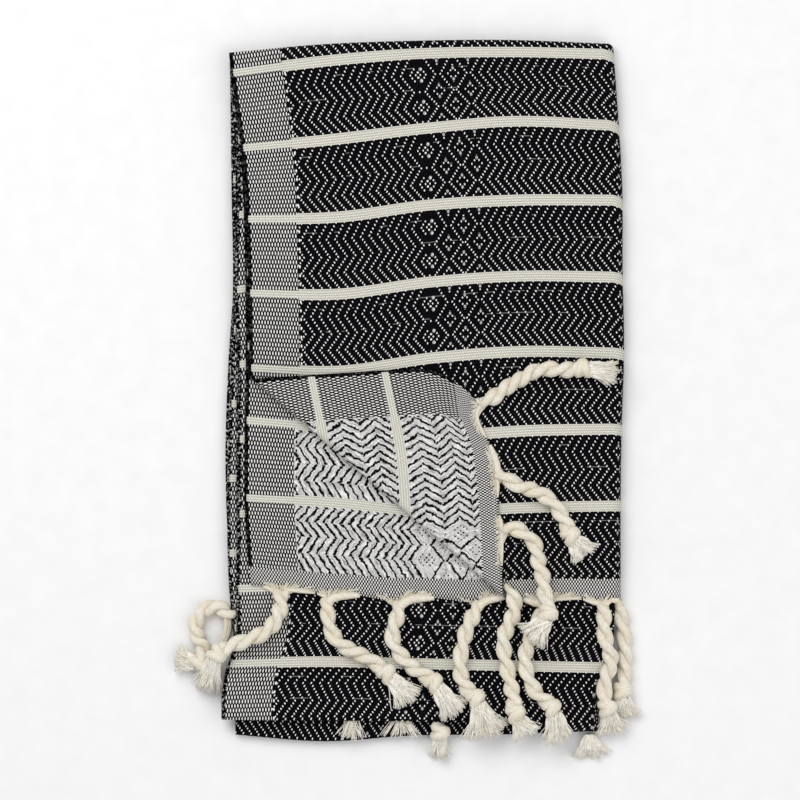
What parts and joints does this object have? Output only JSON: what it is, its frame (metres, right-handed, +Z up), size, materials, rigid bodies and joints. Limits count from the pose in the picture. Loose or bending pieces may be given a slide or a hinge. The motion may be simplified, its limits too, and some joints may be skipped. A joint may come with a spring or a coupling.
{
  "type": "hand towel",
  "caption": "Woven cotton hand towel with knotted tassels along its hems, folded flat into a long pad with one corner turned back.",
  "frame": {"origin": "under the middle of the folded towel and its tassels, on the surface it lies on", "axes": "+Z up from the surface, +Y along the pad towards the end with the folds, +X across it towards the lengthwise fold"},
  "size_m": [0.2324, 0.3608, 0.0264],
  "materials": {
    "cloth": "matte black and natural white patterned weave",
    "cord": "matte natural cotton cord"
  },
  "bodies": {
    "root": {"towel_cloth": "cloth", "tassel_flap_corner": "cord", "tassel_flap_upper": "cord", "tassel_flap_lower": "cord", "tassel_flap_foot": "cord", "tassel_front_inner": "cord", "tassel_front_edge": "cord", "tassel_side_edge": "cord", "tassel_back_first": "cord", "tassel_loop": "cord", "tassel_back_second": "cord", "tassel_back_third": "cord", "tassel_back_fourth": "cord", "tassel_under_first": "cord", "tassel_under_second": "cord", "tassel_under_third": "cord", "tassel_under_corner": "cord"}
  },
  "joints": []
}
